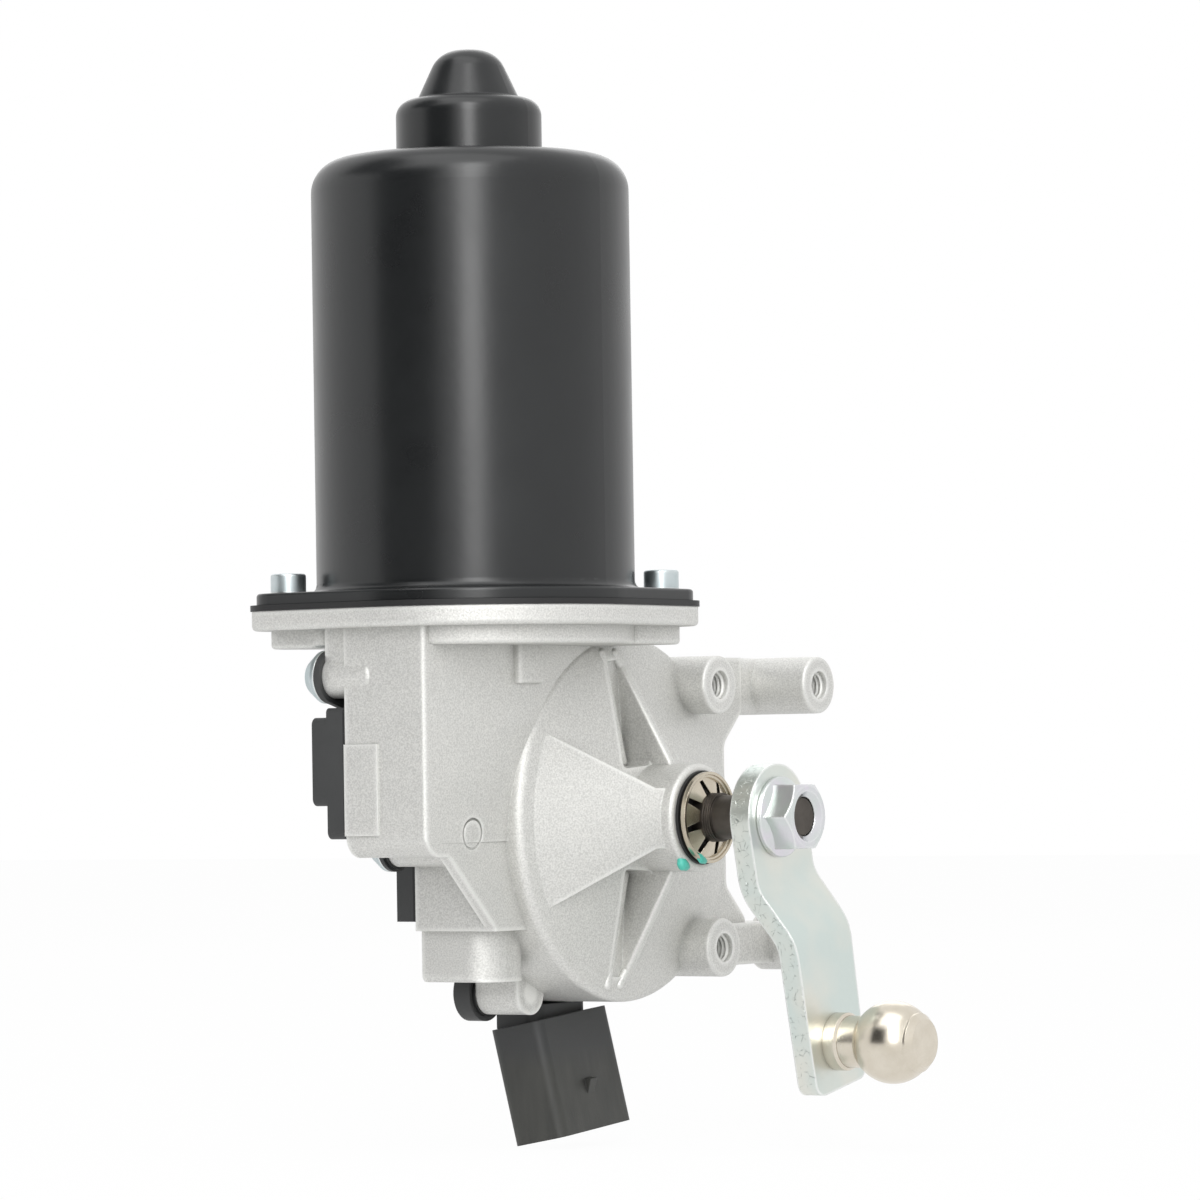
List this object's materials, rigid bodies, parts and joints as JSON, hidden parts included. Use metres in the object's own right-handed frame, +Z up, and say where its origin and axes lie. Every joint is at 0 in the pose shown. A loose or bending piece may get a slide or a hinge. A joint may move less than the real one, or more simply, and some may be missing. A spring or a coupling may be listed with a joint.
{
  "type": "wiper motor",
  "caption": "Windscreen wiper gear motor: black drawn-steel motor can on a die-cast worm gearbox with threaded mounting posts, plug socket, output shaft and cranked arm with a ball stud.",
  "frame": {"origin": "centre of the rectangle of four threaded mounting posts, in the plane of their front faces", "axes": "+X out of the posts along the output shaft towards the crank, +Z up the motor axis towards the can, +Y across the posts away from the motor"},
  "size_m": [0.1171, 0.1353, 0.2256],
  "materials": {
    "cast_aluminium": "sand-textured die casting",
    "black_paint": "semi-gloss black paint",
    "black_sheet": "black gasket sheet",
    "zinc_screw": "bright zinc plate",
    "zinc_crank": "pale zinc plate",
    "black_plastic": "moulded glass-filled nylon",
    "dark_steel": "dark oiled steel",
    "bright_steel": "ground steel",
    "nickel_ball": "polished nickel plate",
    "nickel_clip": "nickel-plated spring steel",
    "black_seal": "moulded rubber",
    "bronze": "sintered bronze",
    "copper": "drawn copper",
    "brass": "stamped brass",
    "ferrite": "ground ferrite",
    "silicon_steel": "stacked sheet",
    "carbon": "pressed carbon",
    "brown_laminate": "phenolic sheet",
    "ivory_nylon": "moulded nylon"
  },
  "bodies": {
    "housing": {"gear_housing": "cast_aluminium", "motor_can": "black_paint", "can_gasket": "black_sheet", "flange_screws": "zinc_screw", "gear_cover": "black_plastic", "cover_gasket": "black_sheet", "cover_screws": "zinc_screw", "connector_pins": "brass", "magnets": "ferrite", "nose_bush": "bronze", "bush_clip": "bright_steel", "brush_plate": "brown_laminate", "brush_holders": "brass", "brushes": "carbon", "brush_springs": "bright_steel", "bearing_outer_ring": "bright_steel", "bearing_balls": "bright_steel", "worm_bush": "bronze", "output_bushes": "bronze", "output_seal": "black_seal", "park_contacts": "copper"},
    "armature": {"worm_shaft": "bright_steel", "lamination_stack": "silicon_steel", "windings": "copper", "commutator": "copper", "bearing_inner_ring": "bright_steel"},
    "output": {"output_shaft": "dark_steel", "worm_wheel": "ivory_nylon", "hub_plate": "bright_steel", "park_disc": "copper", "thrust_washer": "bright_steel", "retainer_ring": "nickel_clip", "crank_arm": "zinc_crank", "crank_nut": "zinc_screw", "ball_stud": "nickel_ball"}
  },
  "joints": [
    {"name": "output_spin", "type": "hinge", "parent": "housing", "child": "output", "pos_m": [0, -0.0414, 0], "axis": [1, 0, 0], "continuous": true},
    {"name": "armature_spin", "type": "hinge", "parent": "housing", "child": "armature", "pos_m": [-0.0231, -0.0734, 0], "axis": [0, 0, 1], "continuous": true}
  ],
  "couplings": [
    {"joint": "armature_spin", "follows": "output_spin", "ratio": 54}
  ]
}
